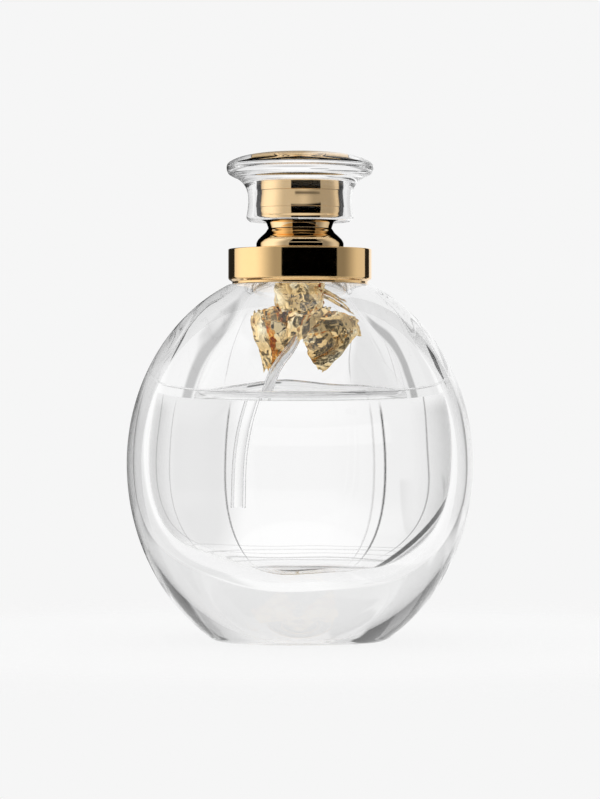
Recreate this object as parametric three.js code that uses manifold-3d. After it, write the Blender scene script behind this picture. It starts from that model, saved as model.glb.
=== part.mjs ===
// A round perfume flacon of thick clear glass: crimped spray pump, gilt collar, lift-off clear cap.
// Millimetres, +Z up, the front towards -Y. The origin is the centre of the foot.

import * as THREE from 'three';
import { mergeVertices } from 'three/addons/utils/BufferGeometryUtils.js';
import loadManifold from 'manifold-3d';

const wasm = await loadManifold();
wasm.setup();

// ---------------------------------------------------------------- driving dimensions

const BOTTLE = {
  radius: 35,
  equatorZ: 35.8,
  crownHeight: 39.65, // half height of the ellipse above the equator
  bellyHeight: 41.07, // half height of the ellipse below it
  footRadius: 16.2,
  footEdgeZ: 1.2,
  puntRadius: 10,
  puntDepth: 0.8,
  seatZ: 71.9, // flat shoulder that the collar stands over
};

const CAVITY = {
  radius: 22.5,
  middleZ: 36,
  crownHeight: 34.5,
  floorZ: 16.8,
  floorSquareness: 2.5, // exponent of the rounded floor, 2 being an ellipse
};

const NECK = { radius: 6.5, beadRadius: 7.5, beadZ: 73.9, mouthZ: 75.8, boreRadius: 4.6 };
const LIQUID = { levelZ: 47.5, clearance: 0.3 };
const TUBE = { radius: 1.1, boreRadius: 0.7, topZ: 61.3, footZ: 28.4 };
const STEM = { radius: 1.35, boreRadius: 0.6, footZ: 71.4, topZ: 85.5 };
const BARREL = { radius: 4.1, boreRadius: 3.3, floorZ: 65, seatZ: 62, socketZ: 59.4 };
const LEAF = { clearance: 0.5, topZ: 69, gap: 0.4 };
const COLLAR = { radius: 14.5, boreRadius: 13.3, bottomZ: 72.05, topZ: 79.1, holeRadius: 9.2 };
const SPIGOT = { radius: 6.75, grooveRadius: 6.4, boreRadius: 5.9, grooveZ: 79.8, topZ: 81.5 };
const ACTUATOR = { radius: 5.4, bottomZ: 82.4, topZ: 91.8, nozzleZ: 87.6, wall: 0.35 };
const LINER = { radius: 8.8, bottomZ: 79.35, cornerZ: 86.4, topZ: 93.3, wall: 0.45 };
const CRYSTAL = { rimRadius: 14.85, rimZ: 95.5, boreRadius: 9.1, bottomZ: 84.7, topZ: 98.75 };

const FINE = 40; // flats around the bottle and the collar
const ROUND = 32; // flats around a turned piece of ordinary size
const SMALL = 16; // flats around a pump piece

// ---------------------------------------------------------------- materials

const finish = (color, roughness, metalness, opacity = 1) =>
  new THREE.MeshStandardMaterial({ color, roughness, metalness, opacity, transparent: opacity < 1 });

const clearGlass = finish('#eef2f3', 0.03, 0, 0.35);
const clearAcrylic = finish('#f2f4f5', 0.05, 0, 0.35);
const scent = finish('#f6f6f2', 0.02, 0, 0.3);
const gilt = finish('#e3bd83', 0.12, 1);
const goldLeaf = finish('#c79a55', 0.3, 1);
const whiteResin = finish('#ececea', 0.4, 0);
const clearResin = finish('#e9e6de', 0.2, 0, 0.5);
const steel = finish('#c9ccd0', 0.25, 1);
const blackRubber = finish('#2b2b2c', 0.8, 0);

// ---------------------------------------------------------------- outlines, as radius and height

const point = (r, z) => new THREE.Vector2(r, z);
const outline = (...pairs) => pairs.map(([r, z]) => point(r, z));
const radians = THREE.MathUtils.degToRad;

// An elliptical arc about [r, z], angles in degrees from the outward radius.
function arc([centreR, centreZ], [radiusR, radiusZ], fromDeg, toDeg, steps) {
  return Array.from({ length: steps + 1 }, (_, i) => {
    const angle = radians(fromDeg + ((toDeg - fromDeg) * i) / steps);
    return point(centreR + radiusR * Math.cos(angle), centreZ + radiusZ * Math.sin(angle));
  });
}

// The angle at which an ellipse of this half height reaches a height above its middle.
const angleAtHeight = (height, halfHeight) => THREE.MathUtils.radToDeg(Math.asin(height / halfHeight));

// The angle at which an ellipse of this half width reaches a radius.
const angleAtRadius = (radius, halfWidth) => THREE.MathUtils.radToDeg(Math.acos(radius / halfWidth));

// The inside of the bottle from a height below the neck to the middle of the floor, moved inwards by inset.
function cavityOutline(topZ, inset, crownSteps, floorSteps) {
  const radius = CAVITY.radius - inset;
  const crown = CAVITY.crownHeight - inset;
  const depth = CAVITY.middleZ - CAVITY.floorZ - inset;
  const start = angleAtHeight(topZ - CAVITY.middleZ, crown);
  const upper = arc([0, CAVITY.middleZ], [radius, crown], start, 0, crownSteps);
  const power = 2 / CAVITY.floorSquareness;
  const lower = Array.from({ length: floorSteps }, (_, i) => {
    const angle = radians((90 * (i + 1)) / floorSteps);
    const across = i + 1 === floorSteps ? 0 : Math.cos(angle) ** power;
    return point(radius * across, CAVITY.middleZ - depth * Math.sin(angle) ** power);
  });
  return [...upper, ...lower];
}

// ---------------------------------------------------------------- geometry

// A solid turned about the z axis. Its outline runs up the outside and starts and ends on the axis.
const turned = (profile, flats = ROUND) => new THREE.LatheGeometry(profile, flats).rotateX(Math.PI / 2);

// A ring turned about the z axis. Its outline runs up the outside and down the inside.
const ring = (profile, flats = ROUND) => turned([...profile, profile[0].clone()], flats);

// A round rod or tube along a curve. An even number of sides.
function swept(curve, radius, steps, sides, boreRadius = 0) {
  const section = new THREE.Shape().absarc(0, 0, radius, 0, 2 * Math.PI);
  if (boreRadius > 0) {
    section.holes.push(new THREE.Path().absarc(0, 0, boreRadius, 0, 2 * Math.PI, true));
  }
  return new THREE.ExtrudeGeometry(section, { steps, curveSegments: sides / 2, extrudePath: curve });
}

class Helix extends THREE.Curve {
  constructor(radius, bottomZ, topZ, turns) {
    super();
    Object.assign(this, { radius, bottomZ, topZ, turns });
  }

  getPoint(t, target = new THREE.Vector3()) {
    const angle = 2 * Math.PI * this.turns * t;
    const z = THREE.MathUtils.lerp(this.bottomZ, this.topZ, t);
    return target.set(this.radius * Math.cos(angle), this.radius * Math.sin(angle), z);
  }
}

function coil(radius, wireRadius, bottomZ, topZ, turns) {
  const stepsPerTurn = 10;
  const curve = new Helix(radius, bottomZ + wireRadius, topZ - wireRadius, turns);
  return swept(curve, wireRadius, stepsPerTurn * turns, 6);
}

// A cylinder with its axis along z, or turned to lie along y.
const rod = (radius, bottomZ, topZ, flats = ROUND) =>
  new THREE.CylinderGeometry(radius, radius, topZ - bottomZ, flats)
    .rotateX(Math.PI / 2)
    .translate(0, 0, (topZ + bottomZ) / 2);

const rodAlongY = (radius, fromY, toY, z, flats = SMALL) =>
  new THREE.CylinderGeometry(radius, radius, toY - fromY, flats).translate(0, (toY + fromY) / 2, z);

function toManifold(geometry) {
  const bare = geometry.clone();
  bare.deleteAttribute('normal');
  bare.deleteAttribute('uv');
  const merged = mergeVertices(bare, 1e-5);
  return new wasm.Manifold(new wasm.Mesh({
    numProp: 3,
    vertProperties: new Float32Array(merged.attributes.position.array),
    triVerts: new Uint32Array(merged.index.array),
  }));
}

function combined(operation, geometry, tools) {
  const solid = tools.reduce((rest, tool) => rest[operation](toManifold(tool)), toManifold(geometry));
  const mesh = solid.getMesh();
  const result = new THREE.BufferGeometry();
  result.setAttribute('position', new THREE.BufferAttribute(mesh.vertProperties, mesh.numProp));
  result.setIndex(new THREE.BufferAttribute(mesh.triVerts, 1));
  result.computeVertexNormals();
  return result;
}

// What is left of a geometry once others are cut out of it.
const cut = (geometry, ...tools) => combined('subtract', geometry, tools);

// The part of a geometry that lies inside all the others.
const keptInside = (geometry, ...tools) => combined('intersect', geometry, tools);

// ---------------------------------------------------------------- the glass and what it holds

function bottleGeometry() {
  const belowFoot = BOTTLE.footEdgeZ - BOTTLE.equatorZ;
  const footAngle = angleAtHeight(belowFoot, BOTTLE.bellyHeight);
  const seatAngle = angleAtHeight(BOTTLE.seatZ - BOTTLE.equatorZ, BOTTLE.crownHeight);
  const boreTopZ = CAVITY.middleZ
    + CAVITY.crownHeight * Math.sin(radians(angleAtRadius(NECK.boreRadius, CAVITY.radius)));
  return turned([
    ...outline([0, BOTTLE.puntDepth], [0.7 * BOTTLE.puntRadius, 0.7 * BOTTLE.puntDepth]),
    ...outline([BOTTLE.puntRadius, 0], [BOTTLE.footRadius, 0]),
    point(BOTTLE.footRadius + 1.5, 0.3),
    ...arc([0, BOTTLE.equatorZ], [BOTTLE.radius, BOTTLE.bellyHeight], footAngle, 0, 7),
    ...arc([0, BOTTLE.equatorZ], [BOTTLE.radius, BOTTLE.crownHeight], 0, seatAngle, 8).slice(1),
    ...outline([NECK.radius, BOTTLE.seatZ], [NECK.radius, NECK.beadZ - 0.4]),
    ...outline([NECK.beadRadius, NECK.beadZ], [NECK.beadRadius, NECK.mouthZ - 0.5]),
    ...outline([NECK.beadRadius - 0.4, NECK.mouthZ], [NECK.boreRadius, NECK.mouthZ]),
    ...cavityOutline(boreTopZ, 0, 7, 6),
  ], FINE);
}

function tubeCurve() {
  return new THREE.CatmullRomCurve3([
    new THREE.Vector3(0, 0, TUBE.topZ),
    new THREE.Vector3(0, 0, 60.2),
    new THREE.Vector3(0, -0.1, 58.8),
    new THREE.Vector3(-1.7, -2.6, 56),
    new THREE.Vector3(-5.4, -3.8, 51),
    new THREE.Vector3(-7.8, -2.4, 44),
    new THREE.Vector3(-9, -1.4, 37),
    new THREE.Vector3(-9.3, -1, TUBE.footZ),
  ]);
}

const fatTube = () => swept(tubeCurve(), TUBE.radius + LIQUID.clearance, 18, 8);

// A solid that fills the inside up to a height, all round it the clearance away from the glass.
const cavityFilling = (topZ, clearance, crownSteps, floorSteps) =>
  turned([...cavityOutline(topZ, clearance, crownSteps, floorSteps).reverse(), point(0, topZ)]);

const liquidGeometry = () => cut(cavityFilling(LIQUID.levelZ, LIQUID.clearance, 3, 7), fatTube());

// The room that the pump takes up below the neck, with a clearance round it.
function pumpRoom(clearance) {
  const { radius, floorZ, seatZ, socketZ } = BARREL;
  return turned(outline(
    [0, socketZ - clearance], [2 + clearance, socketZ - clearance], [2 + clearance, seatZ - 0.6],
    [2.9 + clearance, seatZ - 0.2], [2.9 + clearance, floorZ - 0.6],
    [radius + clearance, floorZ], [radius + clearance, NECK.mouthZ], [0, NECK.mouthZ],
  ), SMALL);
}

// Everything on one side of the middle plane, sign 1 being the right.
const halfSpace = (sign) => new THREE.BoxGeometry(60, 60, 120).translate(sign * (30 + LEAF.gap / 2), 0, 60);

// A crumpled lump of gold leaf: a sphere pushed in and out by folds that run across each other.
function leafGeometry(sign, [x, y, z], [width, depth, height], phase) {
  const lump = new THREE.IcosahedronGeometry(1, 4);
  const positions = lump.attributes.position;
  const at = new THREE.Vector3();
  for (let i = 0; i < positions.count; i += 1) {
    at.fromBufferAttribute(positions, i);
    const folds = Math.sin(5.1 * at.x + 3.7 * at.z + phase) + Math.sin(6.3 * at.y - 4.9 * at.z + 2 * phase);
    const taper = 1 - 0.3 * Math.max(0, -at.z);
    const size = 0.88 + 0.06 * folds;
    at.set(width * size * taper * at.x, depth * size * taper * at.y, height * size * at.z);
    positions.setXYZ(i, x + at.x, y + at.y, z + at.z);
  }
  const room = cavityFilling(LEAF.topZ, LEAF.clearance, 8, 4);
  return cut(keptInside(lump, room, halfSpace(sign)), pumpRoom(LEAF.gap), fatTube());
}

// ---------------------------------------------------------------- the pump

function housingGeometry() {
  const { radius, boreRadius, floorZ, seatZ, socketZ } = BARREL;
  return ring(outline(
    [2, socketZ], [2, seatZ - 0.4], [2.9, seatZ], [2.9, floorZ - 0.4], [radius, floorZ + 0.2],
    [radius, 76.6], [7, 76.6], [7, 77.2], [boreRadius, 77.2],
    [boreRadius, floorZ], [1.9, floorZ - 0.6], [1.9, seatZ + 0.9], [0.7, seatZ],
    [0.7, seatZ - 0.5], [1.35, seatZ - 0.5], [1.35, socketZ],
  ), SMALL);
}

function stemGeometry() {
  const { radius, boreRadius, footZ, topZ } = STEM;
  return turned(outline(
    [0, footZ], [2.9, footZ], [2.9, footZ + 0.6], [radius, footZ + 0.6],
    [radius, 75.7], [2, 75.7], [2, 76.15], [radius, 76.15],
    [radius, topZ], [boreRadius, topZ], [boreRadius, 73], [0, 73],
  ), SMALL);
}

const pistonGeometry = () => ring(outline(
  [2.7, 72.15], [3.2, 72.35], [3, 72.9], [3.2, 73.8], [2.7, 74], [1.45, 74], [1.45, 72.15],
), SMALL);

const turretGeometry = () => ring(outline(
  [3.1, 76.3], [3.1, 77.25], [6.6, 77.25], [6.6, 77.7],
  [3, 77.7], [3, 78.7], [1.5, 78.7], [1.5, 76.3],
), SMALL);

const gasketGeometry = () => ring(outline([7.2, 75.85], [7.2, 76.5], [4.8, 76.5], [4.8, 75.85]), SMALL);

const ferruleGeometry = () => ring(outline(
  [6.8, 72.8], [7.8, 72.8], [8.1, 73.2], [8.1, 77.9], [7.8, 78.2],
  [3.4, 78.2], [3.4, 77.8], [7.7, 77.8], [7.7, 73.4], [6.8, 73.2],
));

// ---------------------------------------------------------------- the collar

function collarGeometry() {
  const { radius, boreRadius, bottomZ, topZ, holeRadius } = COLLAR;
  return ring(outline(
    [boreRadius + 0.4, bottomZ], [boreRadius + 0.4, bottomZ + 0.45],
    [radius - 0.15, bottomZ + 0.85], [radius, bottomZ + 1.15],
    [radius, topZ - 0.25], [radius - 0.25, topZ], [holeRadius, topZ],
    [holeRadius, topZ - 0.9], [boreRadius, topZ - 0.9], [boreRadius, bottomZ],
  ), FINE);
}

function collarInsertGeometry() {
  const { radius, grooveRadius, boreRadius, grooveZ, topZ } = SPIGOT;
  return ring(outline(
    [9.3, 72.4], [9.3, 76.9], [12.3, 76.9], [12.3, 72.4], [13.1, 72.4], [13.1, 78],
    [9, 78], [9, 79], [radius, 79], [radius, grooveZ],
    [grooveRadius, grooveZ], [grooveRadius, grooveZ + 1], [radius, grooveZ + 1],
    [radius, topZ - 0.2], [radius - 0.2, topZ], [boreRadius, topZ],
    [boreRadius, 78.4], [8.4, 78.4], [8.4, 72.4],
  ));
}

// The ring of round section in the spigot's groove that grips the cap.
const gripRingGeometry = () => ring(arc([6.85, SPIGOT.grooveZ + 0.5], [0.4, 0.4], -90, 225, 7));

// ---------------------------------------------------------------- the spray button

function actuatorShellGeometry() {
  const { radius, bottomZ, topZ, nozzleZ, wall } = ACTUATOR;
  const shell = turned(outline(
    [0, topZ - 0.35 - wall], [radius - wall, topZ - wall], [radius - wall, bottomZ],
    [radius, bottomZ], [radius, topZ - 0.3], [radius - 0.3, topZ], [3.2, topZ], [0, topZ - 0.35],
  ), ROUND);
  return cut(shell, rodAlongY(1.8, -7, -2, nozzleZ));
}

function actuatorCoreGeometry() {
  const { radius, bottomZ, topZ, nozzleZ, wall } = ACTUATOR;
  const block = rod(radius - wall - 0.15, bottomZ + 0.2, topZ - 0.9, ROUND);
  const socket = rod(STEM.radius + 0.1, bottomZ - 1, STEM.topZ + 0.1, SMALL);
  const riser = rod(0.5, STEM.topZ, nozzleZ, 12);
  const channel = rodAlongY(0.5, -3, 0, nozzleZ, 12);
  const pocket = rodAlongY(1.65, -7, -2.4, nozzleZ);
  return cut(block, socket, riser, channel, pocket);
}

function nozzleGeometry() {
  const cup = ring(outline(
    [0.9, 0], [1.5, 0], [1.5, 2.55], [1.3, 2.75], [0.2, 2.75], [0.2, 2.1], [0.9, 2.1],
  ), SMALL);
  return cup.rotateX(Math.PI / 2).translate(0, -2.55, ACTUATOR.nozzleZ);
}

// ---------------------------------------------------------------- the cap

// The gilt metal of the cap: bell-shaped foot, waist, rounded shoulder and plain cylinder.
function linerGeometry() {
  const { radius, bottomZ, cornerZ, topZ, wall } = LINER;
  const corner = [radius - 1.5, cornerZ];
  return turned([
    ...outline([0, topZ - wall], [radius - wall, topZ - wall]),
    ...arc(corner, [1.5 - wall, 1.5 - wall], 0, -80, 3),
    ...outline([6.3, 84.7], [6.3, 83.5], [6.05, 83.1], [6.3, 82.8]),
    ...outline([7.5, 81.6], [8.2, 81], [8.35, 80.2], [8.35, bottomZ]),
    ...outline([8.8, bottomZ], [8.86, 80.3], [8.5, 81], [7.7, 81.8], [7, 82.4]),
    ...outline([6.6, 83.05], [6.4, 83.3], [6.5, 83.6], [6.8, 84.5]),
    ...arc(corner, [1.5, 1.5], -80, 0, 4),
    ...outline([radius, topZ - 0.2], [radius - 0.2, topZ], [0, topZ]),
  ]);
}

const sleeveGeometry = () => turned(outline(
  [0, 92.2], [5.9, 92.2], [5.9, 86.7], [8.05, 86.7], [8.05, 92.6], [0, 92.6],
));

function crystalGeometry() {
  const { rimRadius, rimZ, boreRadius, bottomZ, topZ } = CRYSTAL;
  return turned([
    ...outline([0, LINER.topZ + 0.3], [boreRadius, LINER.topZ + 0.3], [boreRadius, bottomZ + 0.7]),
    ...outline([boreRadius + 0.7, bottomZ], [10.2, bottomZ], [10.8, bottomZ + 0.7]),
    ...outline([10.6, 86.9], [10.45, 88.9], [10.65, 90.7], [11.3, 92.1], [12.4, 93.2]),
    ...arc([13.45, rimZ], [rimRadius - 13.45, 1.7], -80, 60, 5),
    ...outline([12.9, 97.4], [10.8, 98], [7.9, 98.45], [4, 98.7], [0, topZ]),
  ]);
}

// ---------------------------------------------------------------- the assembly

const flacon = new THREE.Group();

function add(name, geometry, material) {
  const mesh = new THREE.Mesh(geometry, material);
  mesh.name = name;
  flacon.add(mesh);
}

add('bottle', bottleGeometry(), clearGlass);
add('perfume', liquidGeometry(), scent);
add('gold_leaf_left', leafGeometry(-1, [-4, 0.6, 59.8], [6.2, 5.4, 9.6], 0.4), goldLeaf);
add('gold_leaf_right', leafGeometry(1, [5.4, 0.6, 60.6], [8, 5.4, 9], 2.1), goldLeaf);
add('dip_tube', swept(tubeCurve(), TUBE.radius, 20, 10, TUBE.boreRadius), clearResin);

add('pump_housing', housingGeometry(), whiteResin);
add('inlet_ball', new THREE.IcosahedronGeometry(1.1, 2).translate(0, 0, BARREL.seatZ + 0.95), steel);
add('return_spring', coil(2.55, 0.2, 65.2, 71.3, 5), steel);
add('pump_stem', stemGeometry(), whiteResin);
add('piston', pistonGeometry(), clearResin);
add('piston_spring', coil(1.75, 0.15, 74.1, 75.6, 4), steel);
add('pump_turret', turretGeometry(), whiteResin);
add('neck_gasket', gasketGeometry(), blackRubber);
add('crimp_ferrule', ferruleGeometry(), gilt);

add('collar_insert', collarInsertGeometry(), whiteResin);
add('collar_ring', collarGeometry(), gilt);
add('grip_ring', gripRingGeometry(), clearResin);

add('actuator_core', actuatorCoreGeometry(), whiteResin);
add('actuator_shell', actuatorShellGeometry(), gilt);
add('spray_nozzle', nozzleGeometry(), whiteResin);

add('cap_liner', linerGeometry(), gilt);
add('cap_sleeve', sleeveGeometry(), whiteResin);
add('cap_crystal', crystalGeometry(), clearAcrylic);

export default flacon;
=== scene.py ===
"""Looks of the perfume flacon: polished glass, gilt metal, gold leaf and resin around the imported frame.

Everything is in metres, +Z up, with the front towards -Y. Outlines are (radius, height) pairs in
millimetres about the bottle's axis, and turned() makes them into meshes.
"""

import math

import bpy
import numpy as np
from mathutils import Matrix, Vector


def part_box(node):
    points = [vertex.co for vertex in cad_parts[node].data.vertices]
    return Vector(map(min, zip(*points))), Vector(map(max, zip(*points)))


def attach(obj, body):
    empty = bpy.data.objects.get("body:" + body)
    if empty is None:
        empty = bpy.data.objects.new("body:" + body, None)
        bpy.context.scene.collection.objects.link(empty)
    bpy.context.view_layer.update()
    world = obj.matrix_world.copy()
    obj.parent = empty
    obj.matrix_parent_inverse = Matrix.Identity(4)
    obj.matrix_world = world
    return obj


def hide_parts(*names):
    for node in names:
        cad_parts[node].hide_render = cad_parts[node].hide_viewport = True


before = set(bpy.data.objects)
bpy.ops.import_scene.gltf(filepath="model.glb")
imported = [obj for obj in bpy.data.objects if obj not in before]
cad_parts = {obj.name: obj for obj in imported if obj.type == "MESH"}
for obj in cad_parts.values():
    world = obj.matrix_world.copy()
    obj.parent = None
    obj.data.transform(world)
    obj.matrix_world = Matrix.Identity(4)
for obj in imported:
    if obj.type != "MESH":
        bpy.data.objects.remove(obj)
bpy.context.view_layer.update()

MM = 0.001
TURN = 2 * math.pi


def box_mm(node):
    """Radius, lowest and highest point of a turned CAD node, in millimetres."""
    low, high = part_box(node)
    return high.x / MM, low.z / MM, high.z / MM


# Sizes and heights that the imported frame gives, in millimetres.
BODY_RADIUS, _, MOUTH_Z = box_mm("bottle")
LEVEL_Z = box_mm("perfume")[2]
COLLAR_RADIUS, COLLAR_BOTTOM, COLLAR_TOP = box_mm("collar_ring")
RIM_RADIUS, CRYSTAL_BOTTOM, CRYSTAL_TOP = box_mm("cap_crystal")
_, LINER_BOTTOM, LINER_TOP = box_mm("cap_liner")
SPIGOT_TOP = box_mm("collar_insert")[2]
STEM_TOP = box_mm("pump_stem")[2]
TUBE_TOP = box_mm("dip_tube")[2]
SOCKET_Z = box_mm("pump_housing")[1]

# The glass, in millimetres.
EQUATOR_Z = 35.8
CROWN = 39.65  # half height of the body's ellipse above the equator
BELLY = 41.07  # and below it
FOOT_RADIUS = 16.2
FOOT_EDGE_Z = 1.2  # where the foot's rounded edge meets the side
FOOT_EDGE_REACH = 1.3  # and how far in from there the side, run on, would meet the foot
PUNT_RADIUS = 10.0
PUNT_DEPTH = 0.8
SEAT_Z = 71.9
NECK_RADIUS = 6.5
BEAD_Z = 73.9
BEAD_RADIUS = 7.5
BORE_RADIUS = 4.6
BORE_Z = 71.5
CAVITY_RADIUS = 22.5
CAVITY_MIDDLE_Z = 36.0
CAVITY_CROWN = 34.5
CAVITY_FLOOR_Z = 16.8
FLOOR_SQUARENESS = 2.5  # 2 is an ellipse, and more is squarer
FLOOR_DROP = 0.9  # of the hollow's floor on its right, and as much of a rise on its left
MENISCUS = 1.5  # how far the liquid climbs the glass

LINER_RADIUS = 8.8  # the cap's metal cylinder
TUBE_RADIUS = 1.1
TUBE_BORE = 0.7
LEAF_THICKNESS = 0.06

GLASS_IOR = 1.5
SCENT_IOR = 1.36
PLASTIC_IOR = 1.49

# The camera, in metres, but its sensor in millimetres.
CAMERA_HEIGHT = 0.0487
CAMERA_DISTANCE = 0.70
VIEW_HEIGHT = 0.1616  # what the picture's height takes in at the bottle's axis
SENSOR = 36.0

BACKDROP = 0.9216  # linear brightness

# Painted shade up the inside of the glass, dark lines that stand in for light bent and mirrored in it:
# bearing from the front in degrees, at the height of the foot, lean in degrees per millimetre, half width in
# degrees, and strength. Above 1 the middle of a line is evenly dark.
PAINTED_SHADE_WET_STREAKS = [
    (-36.0, 0.05, 0.9, 0.9), (35.0, -0.03, 1.0, 0.45), (41.0, -0.04, 1.2, 1.0),
    (128.0, 0.06, 1.0, 0.8), (-118.0, 0.04, 1.0, 0.7),
    (-82.0, 0.0, 16.0, 0.42), (-68.0, 0.0, 0.8, 0.5), (88.0, 0.0, 36.0, 0.55),
]
# Painted shade lines above the liquid, in the same columns.
PAINTED_SHADE_DRY_STREAKS = [
    (52.0, 0.12, 1.1, 0.8), (44.0, 0.16, 0.7, 0.4), (-72.0, -0.15, 1.0, 0.6), (-60.0, -0.1, 0.7, 0.4),
    (140.0, 0.1, 1.0, 0.6), (-130.0, 0.12, 1.0, 0.6),
]
# A slanting dark edge of painted shade low on the right, standing in for a dark reflection in the thick
# glass, with fainter ones fanned out beside it.
PAINTED_SHADE_BLADE = [
    (14.6, 2.4, 4.5, 2.0), (21.0, 2.4, 5.0, 0.8), (28.0, 2.4, 5.0, 0.6),
    (36.0, 2.4, 6.0, 0.5), (27.0, 2.4, 14.0, 0.4),
]
PAINTED_SHADE_BLADE_REACH = (12.0, 35.0)  # lowest and highest point
DRY_TOP = 64.0  # where the painted shade lines above the liquid end
# Dark level lines of painted shade at the liquid and the floor: height and half width in millimetres, and
# strength.
PAINTED_SHADE_LEVEL_LINES = [
    (LEVEL_Z + 0.6, 1.2, 0.3), (LEVEL_Z + 1.15, 0.16, 0.75), (LEVEL_Z - 0.15, 0.16, 0.6),
    (18.6, 0.25, 0.6), (19.6, 0.15, 0.4), (21.2, 0.15, 0.35),
]

WHITE = (1.0, 1.0, 1.0)
NEAR_BLACK = (0.02, 0.02, 0.02)
# The near-black of the painted shade lines inside the glass.
PAINTED_SHADE_BLACK = (0.006, 0.006, 0.006)
GOLD_SHADOW = (0.02, 0.012, 0.005)

# Sides of a turned piece.
SIDES = 128
FINE_SIDES = 192
BODY_SIDES = 256


# ---------------------------------------------------------------- outlines


def ellipse(centre_z, across, up, start, stop, steps):
    """Points along an ellipse about the axis, angles in degrees above the horizontal."""
    angles = np.radians(np.linspace(start, stop, steps + 1))
    return [(across * math.cos(a), centre_z + up * math.sin(a)) for a in angles]


def arc(r, z, radius_r, radius_z, start, stop, steps):
    """Points along an elliptical arc about (r, z), angles in degrees from the outward direction."""
    angles = np.radians(np.linspace(start, stop, steps + 1))
    return [(r + radius_r * math.cos(a), z + radius_z * math.sin(a)) for a in angles]


def rounded(corners, closed=True, steps=5, support=0.04):
    """An outline with its corners rounded. Each corner is (r, z, rounding).

    Two extra points close to each rounding keep the straight stretches shaded as straight.
    """
    points = []
    count = len(corners)
    most = 0.42  # the share of a straight side that a rounding may take
    for i, (r, z, rounding) in enumerate(corners):
        here = np.array((r, z))
        is_end = not closed and i in (0, count - 1)
        if rounding == 0 or is_end:
            points.append((r, z))
            continue
        before = np.array(corners[i - 1][:2]) - here
        after = np.array(corners[(i + 1) % count][:2]) - here
        reach_before = min(rounding, most * np.linalg.norm(before))
        reach_after = min(rounding, most * np.linalg.norm(after))
        way_before = before / np.linalg.norm(before)
        way_after = after / np.linalg.norm(after)
        points.append(tuple(here + way_before * (reach_before + support)))
        for t in np.linspace(0, 1, steps + 1):
            bend = (1 - t) ** 2 * reach_before * way_before + t**2 * reach_after * way_after
            points.append(tuple(here + bend))
        points.append(tuple(here + way_after * (reach_after + support)))
    return points


def angle_at_height(height, half_height):
    return math.degrees(math.asin(height / half_height))


def cavity_outline(inset=0.0):
    """The inside of the glass from the neck's bore down to the middle of the floor."""
    across = CAVITY_RADIUS - inset
    up = CAVITY_CROWN - inset
    down = CAVITY_MIDDLE_Z - CAVITY_FLOOR_Z - inset
    start = math.degrees(math.acos(BORE_RADIUS / across))
    points = ellipse(CAVITY_MIDDLE_Z, across, up, start, 0, 70)
    power = 2 / FLOOR_SQUARENESS
    for t in np.linspace(0, 90, 61)[1:]:
        a = math.radians(t)
        r = 0.0 if t == 90 else across * math.cos(a) ** power
        points.append((r, CAVITY_MIDDLE_Z - down * math.sin(a) ** power))
    return points


def uneven(bearing, z):
    """How far the inside of the glass stands out from its outline, in millimetres: it is finished by hand."""
    swell = 0.16 * math.sin(5 * bearing + 0.28 * z) + 0.1 * math.sin(9 * bearing - 0.2 * z + 1.3)
    rise = 0.08 * math.sin(2 * bearing + 0.5 * z)
    near_neck = min(1.0, max(0.0, (68.0 - z) / 6.0))
    above_liquid = min(1.0, max(0.3, (z - LEVEL_Z - 2) / 8.0))
    near_floor = min(1.0, max(0.0, (z - CAVITY_FLOOR_Z) / 4.0))
    return (swell + rise) * near_neck * above_liquid * near_floor


def floor_tilt(x, z):
    """How far the hollow's floor sits above its outline: it waves a little and is lower on the right."""
    depth = min(1.0, max(0.0, (CAVITY_MIDDLE_Z - z) / (CAVITY_MIDDLE_Z - CAVITY_FLOOR_Z)))
    return (0.25 * math.sin(0.35 * x) - FLOOR_DROP * x / CAVITY_RADIUS) * depth**3


def body_outline():
    """The whole skin of the bottle: under the foot, up the outside, over the mouth and down the inside."""
    foot_angle = angle_at_height(FOOT_EDGE_Z - EQUATOR_Z, BELLY)
    seat_angle = angle_at_height(SEAT_Z - EQUATOR_Z, CROWN)
    punt = [
        (r, PUNT_DEPTH * math.cos(math.pi * r / (2 * PUNT_RADIUS)) ** 2)
        for r in np.linspace(0, PUNT_RADIUS, 13)
    ]
    edge_radius = BODY_RADIUS * math.cos(math.radians(foot_angle))
    turn_radius = edge_radius - FOOT_EDGE_REACH
    foot = [(FOOT_RADIUS - 0.1, 0.0)]
    for t in np.linspace(0, 1, 7)[:-1]:
        r = (1 - t) ** 2 * FOOT_RADIUS + 2 * t * (1 - t) * turn_radius + t**2 * edge_radius
        foot.append((r, t**2 * FOOT_EDGE_Z))
    outside = ellipse(EQUATOR_Z, BODY_RADIUS, BELLY, foot_angle, 0, 60)
    outside += ellipse(EQUATOR_Z, BODY_RADIUS, CROWN, 0, seat_angle - 0.6, 60)[1:]
    seat_radius = BODY_RADIUS * math.cos(math.radians(seat_angle))
    neck = rounded(
        [
            (outside[-1][0], outside[-1][1], 0),
            (seat_radius, SEAT_Z, 0.5),
            (NECK_RADIUS, SEAT_Z, 0.6),
            (NECK_RADIUS, BEAD_Z - 0.5, 0.3),
            (BEAD_RADIUS, BEAD_Z, 0.4),
            (BEAD_RADIUS, MOUTH_Z - 0.3, 0.4),
            (BEAD_RADIUS - 0.3, MOUTH_Z, 0.3),
            (BORE_RADIUS, MOUTH_Z, 0.5),
            (BORE_RADIUS, BORE_Z, 0),
        ],
        closed=False,
    )[1:]
    return punt + foot + outside + neck + cavity_outline()


# ---------------------------------------------------------------- meshes


def new_object(name, vertices, faces, materials, face_materials=None, smooth=True):
    mesh = bpy.data.meshes.new(name)
    mesh.from_pydata([tuple(v) for v in vertices], [], faces)
    for material in materials:
        mesh.materials.append(material)
    if face_materials is not None:
        mesh.polygons.foreach_set("material_index", face_materials)
    if smooth:
        mesh.polygons.foreach_set("use_smooth", [True] * len(mesh.polygons))
    mesh.update()
    piece = bpy.data.objects.new(name, mesh)
    bpy.context.scene.collection.objects.link(piece)
    return piece


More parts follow.
